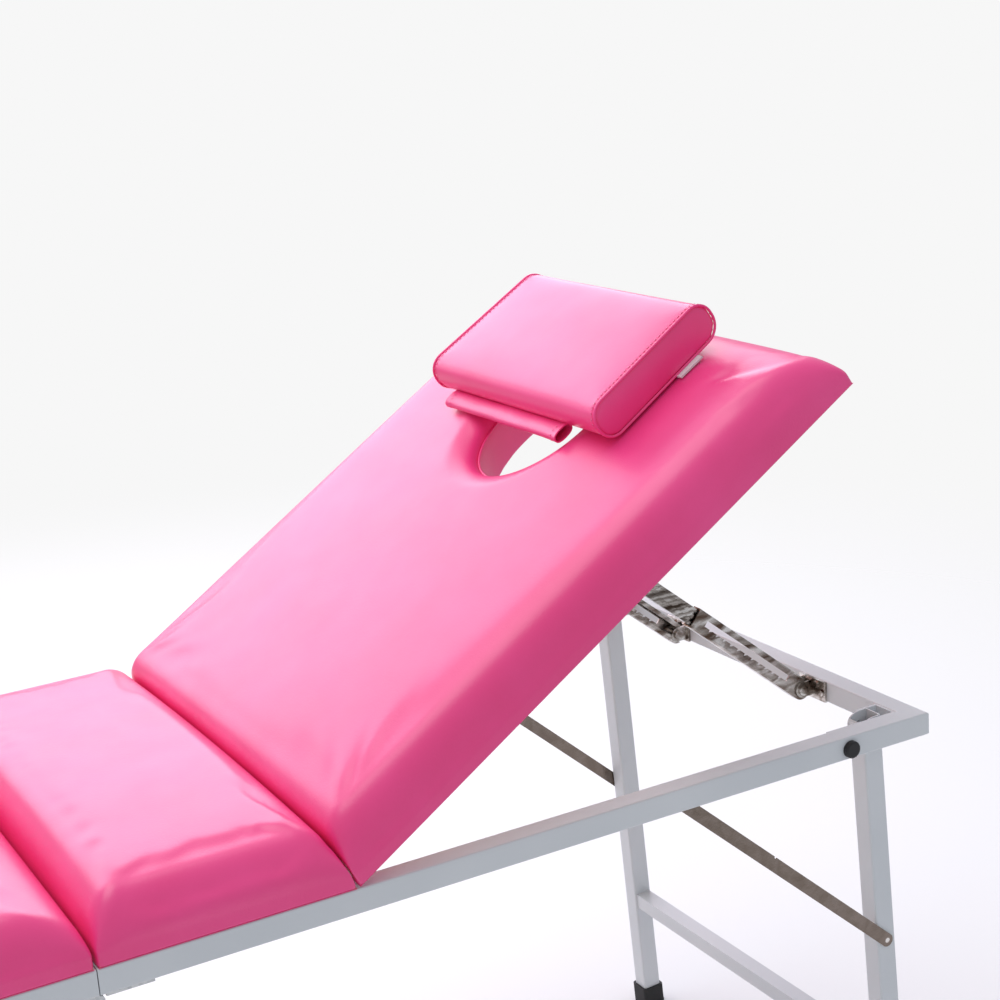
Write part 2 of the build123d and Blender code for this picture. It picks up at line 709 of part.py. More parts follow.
slot_end = slot_start + (tooth_count + 0.8) * tooth_pitch
for side, where in sides:
    with BuildPart() as channel:
        section = Plane(
            origin=strut_plane(side).origin - strut_line.normalized() * channel_eye,
            x_dir=(0, side, 0),
            z_dir=strut_line.normalized(),
        )
        with BuildSketch(section):
            RectangleRounded(channel_depth, channel_width, 2.0)
            Rectangle(channel_depth - 2 * channel_wall, channel_width - 2 * channel_wall, mode=Mode.SUBTRACT)
        extrude(amount=channel_length + channel_eye)
        # its pivot end is rounded, so that it turns clear of the rail
        with BuildSketch(strut_plane(side)):
            with Locations((-channel_width / 2, 0)):
                Rectangle(channel_width, 2 * channel_width)
            Circle(channel_eye, mode=Mode.SUBTRACT)
        extrude(amount=channel_depth, both=True, mode=Mode.SUBTRACT)
        # the inner side is open, with lips that keep the bar in
        with BuildSketch(strut_plane(side, -channel_depth / 2 - 1)):
            with Locations((channel_length / 2, 0)):
                Rectangle(2 * channel_length, lip_gap)
        extrude(amount=channel_wall + 1.5, mode=Mode.SUBTRACT)
        # the outer side carries the long slot with its row of ratchet teeth
        with BuildSketch(strut_plane(side, channel_depth / 2 - channel_wall - 0.5)):
            with Locations(((slot_start + slot_end) / 2, side * 1.5)):
                Rectangle(slot_end - slot_start, slot_width)
            for tooth in range(tooth_count):
                x = slot_start + 5.0 + tooth * tooth_pitch
                with BuildLine():
                    tip = x + tooth_length
                    Polyline((x, 0), (tip, 0), (tip, -side * tooth_depth), close=True)
                make_face()
        extrude(amount=channel_wall + 1.0, mode=Mode.SUBTRACT)
        with Locations(facing(strut_plane(side).origin)):
            Cylinder(pivot_radius + running_gap, 3 * channel_depth, mode=Mode.SUBTRACT)
    save(channel.part, f"strut_channel_{where}")

    bar_start = strut_length - bar_length
    body_end = strut_length - 1.75 * eye_radius
    groove_length = bar_length - 3.25 * eye_radius
    groove_middle = (bar_start + strut_length) / 2 - eye_radius
    with BuildPart() as bar:
        with BuildSketch(strut_plane(side, -bar_depth / 2)):
            with Locations(((bar_start + body_end) / 2, 0)):
                Rectangle(body_end - bar_start, bar_width)
            with Locations((strut_length - 1.5 * eye_radius, 0)):
                Rectangle(3 * eye_radius, 2 * eye_radius)
            with Locations((strut_length, 0)):
                Circle(eye_radius)
        extrude(amount=bar_depth)
        # two long grooves give the pressed bar its ribs
        for face in (-1, 1):
            with BuildSketch(strut_plane(side, face * bar_depth / 2)):
                with Locations((groove_middle, -groove_offset), (groove_middle, groove_offset)):
                    SlotOverall(groove_length, groove_width)
            extrude(amount=groove_depth, both=True, mode=Mode.SUBTRACT)
    save(bar.part, f"strut_bar_{where}")

head_ear_y = bar_depth / 2 + ear_gap + ear / 2
with BuildPart() as strut_heads:
    for side, where in sides:
        for shift in (-1, 1):
            ear_y = side * strut_y + shift * head_ear_y
            with BuildSketch(side_view(recline, ear_y)):
                with Locations((strut_head_u, strut_head_h)):
                    Circle(eye_radius)
                with Locations((strut_head_u, (strut_head_h + backrest_bottom) / 2)):
                    Rectangle(2 * eye_radius, backrest_bottom - strut_head_h)
            extrude(amount=ear / 2, both=True)
            flange_y = ear_y + shift * (head_flange[1] - 1) / 2
            flange = recline.from_local_coords((strut_head_u, flange_y, backrest_bottom - head_flange[2] / 2))
            with Locations(Plane(flange, x_dir=recline.x_dir, z_dir=recline.z_dir)):
                Box(*head_flange)
            rivet_y = ear_y + shift * (ear + head_rivet_height) / 2
            with Locations(facing(recline.from_local_coords((strut_head_u, rivet_y, strut_head_h)))):
                Cylinder(head_rivet_radius, head_rivet_height)
save(strut_heads.part, "strut_heads")
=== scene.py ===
import json
import math

import bmesh
import bpy
from mathutils import Matrix, Vector


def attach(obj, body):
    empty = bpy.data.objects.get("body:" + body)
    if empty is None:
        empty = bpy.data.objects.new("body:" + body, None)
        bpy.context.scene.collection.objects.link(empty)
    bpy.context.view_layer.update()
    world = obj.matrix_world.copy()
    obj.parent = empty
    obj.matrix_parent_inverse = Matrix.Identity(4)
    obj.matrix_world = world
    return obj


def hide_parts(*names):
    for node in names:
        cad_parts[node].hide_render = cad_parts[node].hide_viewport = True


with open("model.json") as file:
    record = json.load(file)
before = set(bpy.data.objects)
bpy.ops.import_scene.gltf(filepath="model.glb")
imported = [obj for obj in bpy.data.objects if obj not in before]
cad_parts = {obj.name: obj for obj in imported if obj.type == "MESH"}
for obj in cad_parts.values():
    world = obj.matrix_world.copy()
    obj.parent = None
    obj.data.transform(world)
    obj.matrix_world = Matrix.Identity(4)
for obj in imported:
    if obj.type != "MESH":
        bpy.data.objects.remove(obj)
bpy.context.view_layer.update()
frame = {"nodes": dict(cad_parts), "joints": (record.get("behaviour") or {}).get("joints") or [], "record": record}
bpy.ops.object.select_all(action="DESELECT")
nodes = frame["nodes"]
joints = {joint["name"]: joint for joint in frame["joints"]}
MM = 0.001


# --- frames of reference ------------------------------------------------------------------
backrest_hinge = joints["backrest_lift"]
backrest_lean = -math.radians(backrest_hinge["range_deg"][0])
RECLINE = Matrix.Translation(backrest_hinge["pos_m"]) @ Matrix.Rotation(-backrest_lean, 4, "Y")
LEVEL = Matrix.Identity(4)


def local_box(node, place):
    """A node's lowest and highest corners in a panel's own frame."""
    back = place.inverted()
    points = [back @ vertex.co for vertex in nodes[node].data.vertices]
    low = Vector([min(p[axis] for p in points) for axis in range(3)])
    high = Vector([max(p[axis] for p in points) for axis in range(3)])
    return low, high


# --- materials ----------------------------------------------------------------------------
def colour(code):
    """An sRGB hex colour as linear RGBA."""
    channels = [int(code[i:i + 2], 16) / 255 for i in (1, 3, 5)]
    linear = [c / 12.92 if c <= 0.04045 else ((c + 0.055) / 1.055) ** 2.4 for c in channels]
    return (*linear, 1.0)


def add_node(tree, kind, inputs=None, **settings):
    """Adds one shader node with its settings, values and links."""
    made = tree.nodes.new(kind)
    for key, value in settings.items():
        setattr(made, key, value)
    for key, value in (inputs or {}).items():
        if isinstance(value, bpy.types.NodeSocket):
            tree.links.new(value, made.inputs[key])
        else:
            made.inputs[key].default_value = value
    return made


def new_material(name):
    material = bpy.data.materials.new(name)
    material.use_nodes = True
    tree = material.node_tree
    tree.nodes.clear()
    place = add_node(tree, "ShaderNodeTexCoord").outputs["Object"]
    return material, tree, place


def finish_material(tree, shader):
    add_node(tree, "ShaderNodeOutputMaterial", {"Surface": shader.outputs["BSDF"]})


def ramp(tree, source, stops):
    """A colour ramp through (position, hex colour) stops."""
    made = add_node(tree, "ShaderNodeValToRGB", {"Fac": source})
    elements = made.color_ramp.elements
    while len(elements) < len(stops):
        elements.new(0.5)
    for element, (position, code) in zip(elements, stops):
        element.position = position
        element.color = colour(code)
    return made.outputs["Color"]


def spread(tree, source, low, high):
    """Maps a 0 to 1 value onto low to high."""
    made = add_node(tree, "ShaderNodeMapRange", {"Value": source, "To Min": low, "To Max": high})
    return made.outputs["Result"]


def upholstery_vinyl():
    """PVC leathercloth: satin and evenly dyed. Its fine embossed grain is drawn at 1.6 mm to show."""
    material, tree, place = new_material("pink_upholstery_vinyl")
    mottle = add_node(tree, "ShaderNodeTexNoise", {"Vector": place, "Scale": 9.0, "Detail": 4.0})
    tone = ramp(tree, mottle.outputs["Fac"], ((0.3, "#F23B84"), (0.7, "#F94690")))
    grain = add_node(tree, "ShaderNodeTexVoronoi", {"Vector": place, "Scale": 620.0},
                     feature="SMOOTH_F1")
    pebble = add_node(tree, "ShaderNodeTexNoise", {"Vector": place, "Scale": 260.0, "Detail": 3.0})
    depth = add_node(tree, "ShaderNodeMath", {0: grain.outputs["Distance"],
                                              1: pebble.outputs["Fac"]}, operation="ADD")
    emboss = add_node(tree, "ShaderNodeBump", {"Height": depth.outputs["Value"], "Strength": 0.16,
                                               "Distance": 0.0006})
    smear = add_node(tree, "ShaderNodeTexNoise", {"Vector": place, "Scale": 24.0, "Detail": 5.0})
    shader = add_node(tree, "ShaderNodeBsdfPrincipled", {
        "Base Color": tone,
        "Roughness": spread(tree, smear.outputs["Fac"], 0.34, 0.46),
        "Normal": emboss.outputs["Normal"],
    })
    shader.inputs["IOR"].default_value = 1.53
    shader.inputs["Coat Weight"].default_value = 0.35
    shader.inputs["Coat Roughness"].default_value = 0.3
    finish_material(tree, shader)
    return material


def powder_coat():
    """Pale grey-white polyester powder coat: a soft orange peel of about 2 mm."""
    material, tree, place = new_material("powder_coated_steel")
    drift = add_node(tree, "ShaderNodeTexNoise", {"Vector": place, "Scale": 6.0, "Detail": 2.0})
    tone = ramp(tree, drift.outputs["Fac"], ((0.3, "#CED2D5"), (0.7, "#D7DADC")))
    peel = add_node(tree, "ShaderNodeTexNoise", {"Vector": place, "Scale": 480.0, "Detail": 1.0})
    skin = add_node(tree, "ShaderNodeBump", {"Height": peel.outputs["Fac"], "Strength": 0.08,
                                             "Distance": 0.0004})
    shader = add_node(tree, "ShaderNodeBsdfPrincipled", {
        "Base Color": tone,
        "Roughness": spread(tree, drift.outputs["Fac"], 0.36, 0.46),
        "Normal": skin.outputs["Normal"],
    })
    finish_material(tree, shader)
    return material


def nickel_plate(name="nickel_plated_steel", dark="#5C4A3E", mid="#A39A92", pale="#E9E5E0",
                 grain=(1, 1, 1), lean=0.0):
    """Bright nickel on pressed steel: mirror-like. Its brownish dark and pale streaks, drawn out along the part,
    are painted reflections of darker and lighter surroundings, not marks in the plate.
    """
    material, tree, place = new_material(name)
    drawn = add_node(tree, "ShaderNodeMapping", {"Vector": place, "Rotation": (0.0, lean, 0.0),
                                                 "Scale": grain})
    # Painted reflection: stretched noise mixes dark brownish, mid and pale tones into the plate colour, standing
    # in for reflected surroundings; the same noise varies the roughness.
    reflection_streaks = add_node(tree, "ShaderNodeTexNoise", {"Vector": drawn.outputs["Vector"], "Scale": 55.0,
                                                  "Detail": 6.0, "Distortion": 0.8})
    tone = ramp(tree, reflection_streaks.outputs["Fac"], ((0.34, dark), (0.48, mid), (0.64, pale)))
    pits = add_node(tree, "ShaderNodeTexNoise", {"Vector": place, "Scale": 320.0, "Detail": 2.0})
    dents = add_node(tree, "ShaderNodeBump", {"Height": pits.outputs["Fac"], "Strength": 0.25,
                                              "Distance": 0.0008})
    shader = add_node(tree, "ShaderNodeBsdfPrincipled", {
        "Base Color": tone,
        "Roughness": spread(tree, reflection_streaks.outputs["Fac"], 0.12, 0.34),
        "Normal": dents.outputs["Normal"],
    })
    shader.inputs["Metallic"].default_value = 1.0
    finish_material(tree, shader)
    return material


def zinc_plate():
    """Zinc-plated steel fixings: pale, satin, with a fine spangle."""
    material, tree, place = new_material("zinc_plated_steel")
    spangle = add_node(tree, "ShaderNodeTexVoronoi", {"Vector": place, "Scale": 240.0})
    tone = ramp(tree, spangle.outputs["Color"], ((0.2, "#B9BCBD"), (0.8, "#D5D7D6")))
    shader = add_node(tree, "ShaderNodeBsdfPrincipled", {
        "Base Color": tone,
        "Roughness": spread(tree, spangle.outputs["Color"], 0.26, 0.42),
    })
    shader.inputs["Metallic"].default_value = 1.0
    finish_material(tree, shader)
    return material


def moulded_black(name, code_low, code_high, rough):
    """Black moulded polymer with a faint spark-eroded texture."""
    material, tree, place = new_material(name)
    spark = add_node(tree, "ShaderNodeTexNoise", {"Vector": place, "Scale": 900.0, "Detail": 2.0})
    tone = ramp(tree, spark.outputs["Fac"], ((0.3, code_low), (0.7, code_high)))
    relief = add_node(tree, "ShaderNodeBump", {"Height": spark.outputs["Fac"], "Strength": 0.2,
                                               "Distance": 0.0003})
    shader = add_node(tree, "ShaderNodeBsdfPrincipled", {
        "Base Color": tone,
        "Roughness": spread(tree, spark.outputs["Fac"], rough, rough + 0.12),
        "Normal": relief.outputs["Normal"],
    })
    finish_material(tree, shader)
    return material


def birch_plywood():
    """Raw birch plywood: long pale figure along the panel with darker pores."""
    material, tree, place = new_material("birch_plywood")
    stretch = add_node(tree, "ShaderNodeMapping", {"Vector": place, "Scale": (1.4, 22.0, 22.0)})
    figure = add_node(tree, "ShaderNodeTexNoise", {"Vector": stretch.outputs["Vector"],
                                                   "Scale": 4.0, "Detail": 8.0, "Distortion": 0.6})
    tone = ramp(tree, figure.outputs["Fac"],
                ((0.3, "#B58F61"), (0.5, "#CFAE80"), (0.72, "#DDC39B")))
    pores = add_node(tree, "ShaderNodeBump", {"Height": figure.outputs["Fac"], "Strength": 0.25,
                                              "Distance": 0.0005})
    shader = add_node(tree, "ShaderNodeBsdfPrincipled", {
        "Base Color": tone,
        "Roughness": spread(tree, figure.outputs["Fac"], 0.55, 0.75),
        "Normal": pores.outputs["Normal"],
    })
    finish_material(tree, shader)
    return material


def woven_tape():
    """White woven polyester tape with a 1 mm weave."""
    material, tree, place = new_material("white_woven_tape")
    weave = add_node(tree, "ShaderNodeTexBrick", {"Vector": place, "Scale": 500.0}, offset=0.5)
    tone = ramp(tree, weave.outputs["Fac"], ((0.0, "#F4F1F1"), (1.0, "#DAD5D6")))
    ribs = add_node(tree, "ShaderNodeBump", {"Height": weave.outputs["Fac"], "Strength": 0.3,
                                             "Distance": 0.0003})
    shader = add_node(tree, "ShaderNodeBsdfPrincipled", {
        "Base Color": tone,
        "Roughness": spread(tree, weave.outputs["Fac"], 0.7, 0.85),
        "Normal": ribs.outputs["Normal"],
    })
    finish_material(tree, shader)
    return material


def bonded_thread():
    """Bonded polyester sewing thread: a little paler than the cover, with a twist drawn at 1 mm."""
    material, tree, place = new_material("bonded_thread")
    twist = add_node(tree, "ShaderNodeTexWave", {"Vector": place, "Scale": 160.0,
                                                 "Distortion": 1.5}, bands_direction="DIAGONAL")
    tone = ramp(tree, twist.outputs["Fac"], ((0.2, "#E05A92"), (0.8, "#F59BBF")))
    lay = add_node(tree, "ShaderNodeBump", {"Height": twist.outputs["Fac"], "Strength": 0.3,
                                            "Distance": 0.0002})
    shader = add_node(tree, "ShaderNodeBsdfPrincipled", {
        "Base Color": tone,
        "Roughness": spread(tree, twist.outputs["Fac"], 0.45, 0.6),
        "Normal": lay.outputs["Normal"],
    })
    finish_material(tree, shader)
    return material


VINYL = upholstery_vinyl()
THREAD = bonded_thread()
FINISHES = {
    "pink_vinyl": VINYL,
    "foam": VINYL,
    "white_paint": powder_coat(),
    "nickel_plate": nickel_plate(),
    "zinc_steel": zinc_plate(),
    "rubber_foot": moulded_black("rubber_foot", "#141414", "#1E1E1F", 0.6),
    "black_cap": moulded_black("black_polyethylene", "#0B0B0C", "#151516", 0.38),
    "plywood": birch_plywood(),
    "white_tab": woven_tape(),
}


def long_lean(node):
    """The turn about Y that lays a strut's length along X."""
    points = sorted((vertex.co for vertex in nodes[node].data.vertices), key=lambda p: p.x)
    share = max(1, len(points) // 10)
    low = sum(points[:share], Vector()) / share
    high = sum(points[-share:], Vector()) / share
    return math.atan2(high.z - low.z, high.x - low.x)


# How far the painted reflection streaks are drawn out along each strut and channel.
STRUT_REFLECTION_STRETCH = (0.12, 1.0, 3.2)
CHANNEL_REFLECTION_STRETCH = (0.5, 1.0, 1.4)
# The bars' darker brown streaks are painted reflections of dark surroundings in the plated bar.
BAR = nickel_plate("nickel_bar_painted_reflections", dark="#40342C", grain=STRUT_REFLECTION_STRETCH,
                   lean=long_lean("strut_bar_near"))
CHANNEL = nickel_plate("pressed_nickel_channel", grain=CHANNEL_REFLECTION_STRETCH,
                       lean=long_lean("strut_channel_near"))
# The stays' even, darkened brownish grey is painted reflection of dark surroundings in the plated strip, not the
# plate's own colour.
STAY = nickel_plate("stay_strip_painted_reflection", dark="#796D63", mid="#81756B", pale="#8A7E75")
BY_NODE = {"strut_bar_near": BAR, "strut_bar_far": BAR,
           "strut_channel_near": CHANNEL, "strut_channel_far": CHANNEL,
           "head_stay_upper": STAY, "head_stay_lower": STAY,
           "foot_stay_upper": STAY, "foot_stay_lower": STAY}
slots = {part["node"]: part["material_slot"] for part in frame["record"]["subparts"]}
for name, cad in nodes.items():
    cad.data.materials.clear()
    cad.data.materials.append(BY_NODE.get(name, FINISHES[slots[name]]))


# --- helpers for new pieces ---------------------------------------------------------------
def only(piece):
    """Makes a piece the only selected, active object."""
    bpy.ops.object.select_all(action="DESELECT")
    piece.select_set(True)
    bpy.context.view_layer.objects.active = piece


def apply_all(piece):
    only(piece)
    for modifier in list(piece.modifiers):
        bpy.ops.object.modifier_apply(modifier=modifier.name)


def settle(piece, place):
    """Puts a piece's place into its mesh."""
    piece.data.transform(place @ piece.matrix_world)
    piece.matrix_world = Matrix.Identity(4)
    piece.data.update()


def dress(piece, body, slot, material=None, smooth=35.0):
    """Gives a finished piece its material, shading, slot and body."""
    only(piece)
    piece.data.materials.clear()
    piece.data.materials.append(material or FINISHES[slot])
    bpy.ops.object.shade_smooth_by_angle(angle=math.radians(smooth))
    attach(piece, body)


def block(name, low, high):
    """A box between two corners, its place already in its mesh."""
    middle = (low + high) / 2
    bpy.ops.mesh.primitive_cube_add(size=1.0, location=middle, scale=high - low)
    piece = bpy.context.active_object
    piece.name = name
    settle(piece, LEVEL)
    return piece


def select_edges(piece, wanted):
    """Goes into edit mode with only the edges selected whose two ends satisfy a test."""
    only(piece)
    bpy.ops.object.mode_set(mode="EDIT")
    bpy.ops.mesh.select_mode(type="EDGE")
    bpy.ops.mesh.select_all(action="DESELECT")
    bpy.ops.object.mode_set(mode="OBJECT")
    for edge in piece.data.edges:
        first, second = (piece.data.vertices[index].co for index in edge.vertices)
        edge.select = wanted(first, second)
    bpy.ops.object.mode_set(mode="EDIT")


# --- cushions -----------------------------------------------------------------------------
PAD_VOXEL = 6 * MM
PAD_EDGE = 13 * MM
SHOULDER = 33 * MM
END_ROLL = 76 * MM
CREASE_ROLL = 30 * MM
CREASE_BASE = 38 * MM
CROWN = 7 * MM
BLOCK_HEIGHT = 30 * MM
CORNER = 5 * MM
RIM_DROP = 18 * MM
RIM_ROLL = 24 * MM
RIM_EASE = Vector((4 * MM, 4 * MM))
PUFF_ROOM = 3 * MM
BOARD_FACE = 0.2 * MM
PAD_INSET = 0.5 * MM
FILLING_FRAMES = 20
WELT_SUNK = Vector((0.2 * MM, 0.2 * MM))
LEAN_FADE = 80 * MM
FLARE_REACH = 3
ON_FACE = 0.3 * PAD_VOXEL
ON_WALL = 0.7 * PAD_VOXEL
CUSHION_SWELL = 2.5 * MM
SWELL_AT_END = 0.4 * MM
SWELL_RISE = 0.06
OPEN_END = (END_ROLL, 0.0, 0.0)
FOLD_END = (CREASE_ROLL, 0.0, 0.0)
BACK_CREASE = (CREASE_ROLL, CREASE_BASE - PAD_EDGE, math.tan(math.radians(10.5)))
SEAT_CREASE = (CREASE_ROLL, CREASE_BASE - PAD_EDGE, math.tan(math.radians(22.0)))


def arc_length(across, rise):
    """Length of a quarter ellipse, by Ramanujan's rule."""
    mixed = math.sqrt((3 * across + rise) * (across + 3 * rise))
    return math.pi / 4 * (3 * (across + rise) - mixed)


def roll_on(inside, length, across):
    """Winds a distance along a rolled edge onto a quarter ellipse: how far in, and its turn."""
    if inside >= length:
        return across + inside - length, 1.0
    turn = max(inside, 0.0) / length * math.pi / 2
    return across * (1 - math.cos(turn)), math.sin(turn)


class Pad:
    """A cushion's plan and profile in its panel's frame. Each end is a roll, its base and lean."""

    def __init__(self, low, high, start, end, hole=None):
        self.low, self.high, self.hole = low, high, hole
        self.height = high.z - low.z
        self.ends = (start, end)
        self.half = (high.y - low.y) / 2
        self.mid_y = (high.y + low.y) / 2
        self.dome = self.height - CROWN - PAD_EDGE
        self.side = arc_length(SHOULDER, self.dome)
        self.lengths = [arc_length(roll, self.height - PAD_EDGE - base)
                        for roll, base, _ in self.ends]
        self.rim_length = arc_length(RIM_ROLL, RIM_DROP)

    def spare(self):
        """How much larger the flat block is than the rolled cushion, at each end and side."""
        ends = [length - roll for length, (roll, _, _) in zip(self.lengths, self.ends)]
        return ends, self.side - SHOULDER

    def cut_radii(self):
        spare = self.rim_length - RIM_ROLL
        return self.hole[1] - Vector((spare, spare))

    def place(self, co, in_hole):
        """Moves a point of the flat block onto the cushion."""
        ends, side = self.spare()
        share = min(max((co.z - self.low.z) / BLOCK_HEIGHT, 0.0), 1.0)
        x, y, rim_turn = co.x, co.y, 1.0
        if self.hole:
            centre, rim_radii, foot_radii = self.hole
            cut = self.cut_radii()
            away = Vector((x, y)) - centre
            edge = away / Vector((away.x / cut.x, away.y / cut.y)).length
            gap = 0.0 if in_hole else max(0.0, away.length - edge.length)
            moved, rim_turn = roll_on(gap, self.rim_length, RIM_ROLL)
            fade = max(0.0, 1 - gap / (FLARE_REACH * self.rim_length))
            flare = (foot_radii - rim_radii).x * (1 - share) * fade
            reach = edge.length + self.rim_length - RIM_ROLL + moved + flare
            x, y = centre + away.normalized() * reach
        side_in, side_turn = roll_on(self.half + side - abs(y - self.mid_y), self.side, SHOULDER)
        y = self.mid_y + math.copysign(self.half - side_in, y - self.mid_y)
        crown = CROWN * max(0.0, 1 - ((y - self.mid_y) / (self.half - SHOULDER)) ** 2)
        along, lean = 1.0, 0.0
        for edge_x, inward, spare, length, (roll, base, slope) in zip(
                (self.low.x, self.high.x), (1, -1), ends, self.lengths, self.ends):
            distance = (x - edge_x) * inward + spare
            if distance < length + LEAN_FADE:
                end_in, end_turn = roll_on(distance, length, roll)
                x = edge_x + inward * end_in
                floor = base / (self.height - PAD_EDGE)
                along *= floor + (1 - floor) * end_turn
                lean += inward * slope * min(1.0, max(0.0, 1 - (end_in - roll) / LEAN_FADE))
        z = share * (PAD_EDGE + (self.dome * side_turn + crown) * along - RIM_DROP * (1 - rim_turn))
        return Vector((x + lean * min(z, CREASE_BASE), y, self.low.z + z))

    def round_corners(self, co):
        """Draws the four plan corners in to a small radius."""
        for edge_x, inward_x in ((self.low.x, 1), (self.high.x, -1)):
            for inward_y in (1, -1):
                corner = Vector((edge_x + inward_x * CORNER,
                                 self.mid_y - inward_y * (self.half - CORNER)))
                away = Vector((co.x, co.y)) - corner
                if away.x * inward_x < 0 and away.y * inward_y < 0:
                    reach = max(abs(away.x), abs(away.y))
                    if away.length > 0:
                        snug = away.normalized() * reach
                        co.x, co.y = corner.x + snug.x, corner.y + snug.y
        return co


def inflate(piece, held, limits, pressure):
    """Fills a cushion with cloth pressure. Each point has a limit on how far it may move."""
    start = [vertex.co.copy() for vertex in piece.data.vertices]
    group = piece.vertex_groups.new(name="held")
    group.add(held, 1.0, "REPLACE")
    only(piece)
    cloth = piece.modifiers.new("filling", "CLOTH")
    settings = cloth.settings
    settings.quality = 5
    settings.mass = 0.4
    settings.tension_stiffness = 18
    settings.compression_stiffness = 18
    settings.shear_stiffness = 8
    settings.bending_stiffness = 3.0
    settings.use_pressure = True
    settings.uniform_pressure_force = pressure
    settings.vertex_group_mass = "held"
    settings.effector_weights.gravity = 0.0
    cloth.collision_settings.use_collision = False
    scene = bpy.context.scene
    for step in range(1, FILLING_FRAMES + 1):
        scene.frame_set(step)
    bpy.ops.object.modifier_apply(modifier=cloth.name)
    scene.frame_set(1)
    for vertex, origin, most in zip(piece.data.vertices, start, limits):
        move = vertex.co - origin
        if move.length > most:
            vertex.co = origin + move.normalized() * most
    piece.vertex_groups.clear()
    piece.data.update()


def subdivide(piece):
    smooth = piece.modifiers.new("smooth", "SUBSURF")
    smooth.levels = smooth.render_levels = 1
    apply_all(piece)


def remesh(piece, voxel):
    voxels = piece.modifiers.new("voxels", "REMESH")
    voxels.mode = "VOXEL"
    voxels.voxel_size = voxel
    apply_all(piece)


def cushion(name, place, body, replaced, pad):
    """An upholstered panel: board-flat below, rolled and crowned above, filled by pressure."""
    ends, side = pad.spare()
    low = Vector((pad.low.x - ends[0], pad.low.y - side, pad.low.z))
    high = Vector((pad.high.x + ends[1], pad.high.y + side, pad.low.z + BLOCK_HEIGHT))
    piece = block(name, low, high)
    if pad.hole:
        centre, cut_size = pad.hole[0], pad.cut_radii()
        bpy.ops.mesh.primitive_cylinder_add(vertices=120, radius=1.0, depth=1.0,
                                            location=(centre.x, centre.y, (low.z + high.z) / 2),
                                            scale=(cut_size.x, cut_size.y, 3 * BLOCK_HEIGHT))
        cutter = bpy.context.active_object
        cut = piece.modifiers.new("hole", "BOOLEAN")
        cut.object = cutter
        cut.operation = "DIFFERENCE"
        cut.solver = "EXACT"
        apply_all(piece)
        bpy.data.objects.remove(cutter)
    remesh(piece, PAD_VOXEL)
    held, limits = [], []
    for vertex in piece.data.vertices:
        co = vertex.co.copy()
        on_top = co.z > high.z - ON_FACE
        to_side = min(co.x - low.x, high.x - co.x, co.y - low.y, high.y - co.y)
        in_hole = False
        if pad.hole:
            reach = Vector(((co.x - centre.x) / cut_size.x, (co.y - centre.y) / cut_size.y))
            in_hole = (reach.length - 1) * cut_size.y < ON_WALL
        if not on_top or to_side < ON_FACE or in_hole:
            held.append(vertex.index)
        vertex.co = pad.round_corners(pad.place(co, in_hole))
        to_end = min(abs(vertex.co.x - pad.low.x), abs(vertex.co.x - pad.high.x))
        limits.append(min(CUSHION_SWELL, SWELL_AT_END + SWELL_RISE * to_end))
    piece.data.update()
    inflate(piece, held, limits, pressure=4.0)
    subdivide(piece)
    settle(piece, place)
    dress(piece, body, "pink_vinyl", VINYL, smooth=70.0)
    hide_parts(*replaced)


def pad_room(node, place):
    """The box that a cushion may fill: its CAD cover's, a little under it so that it can swell."""
    low, high = local_box(node, place)
    low.z += BOARD_FACE
    high.z -= PUFF_ROOM
    inset = Vector((PAD_INSET, PAD_INSET, 0))
    return low + inset, high - inset


def opening(node, place):
    """Centre, foot radii and mouth radii of the round opening through a panel."""
    back = place.inverted()
    points = [back @ vertex.co for vertex in nodes[node].data.vertices]
    low, high = local_box(node, place)
    clear_of_edges = 60 * MM
    foot = [p for p in points if p.z < low.z + MM and abs(p.y) < high.y - clear_of_edges
            and low.x + clear_of_edges < p.x < high.x - clear_of_edges]
    centre = Vector(((min(p.x for p in foot) + max(p.x for p in foot)) / 2, 0))
    foot_radii = Vector((max(p.x for p in foot) - centre.x, max(p.y for p in foot)))
    inner = [Vector((p.x - centre.x, p.y)) for p in points if p.z > high.z - 12 * MM]
    mouth = [p for p in inner if (p.x / foot_radii.x) ** 2 + (p.y / foot_radii.y) ** 2 < 1]
    return centre, foot_radii, Vector((max(p.x for p in mouth), max(p.y for p in mouth)))


def face_hole_welt(centre, radii, height):
    """The thin welt sewn round the face hole's rim."""
    mean = (radii.x + radii.y) / 2
    bpy.ops.mesh.primitive_torus_add(major_segments=180, minor_segments=12, major_radius=mean,
                                     minor_radius=1.3 * MM, location=(centre.x, centre.y, height))
    welt = bpy.context.active_object
    welt.name = "face_hole_welt"
    bpy.ops.object.mode_set(mode="EDIT")
    bpy.ops.mesh.select_all(action="SELECT")
    bpy.ops.transform.resize(value=(radii.x / mean, radii.y / mean, 0.8),
                             center_override=(centre.x, centre.y, height))
    bpy.ops.object.mode_set(mode="OBJECT")
    settle(welt, RECLINE)
    dress(welt, "backrest", "pink_vinyl", VINYL)


def build_cushions():
    low, high = pad_room("backrest_cover", RECLINE)
    centre, foot_radii, mouth_radii = opening("backrest_cover", RECLINE)
    rim_radii = mouth_radii + RIM_EASE
    cushion("backrest_pad", RECLINE, "backrest", ("backrest_cover", "backrest_foam"),
            Pad(low, high, BACK_CREASE, OPEN_END, hole=(centre, rim_radii, foot_radii)))
    face_hole_welt(centre, rim_radii - WELT_SUNK, high.z - RIM_DROP - PAD_INSET)
    low, high = pad_room("seat_cover", LEVEL)
    cushion("seat_pad", LEVEL, "head_frame", ("seat_cover", "seat_foam"),
            Pad(low, high, FOLD_END, SEAT_CREASE))
    low, high = pad_room("leg_section_cover", LEVEL)
    cushion("leg_section_pad", LEVEL, "foot_frame", ("leg_section_cover", "leg_section_foam"),
            Pad(low, high, OPEN_END, OPEN_END))


build_cushions()


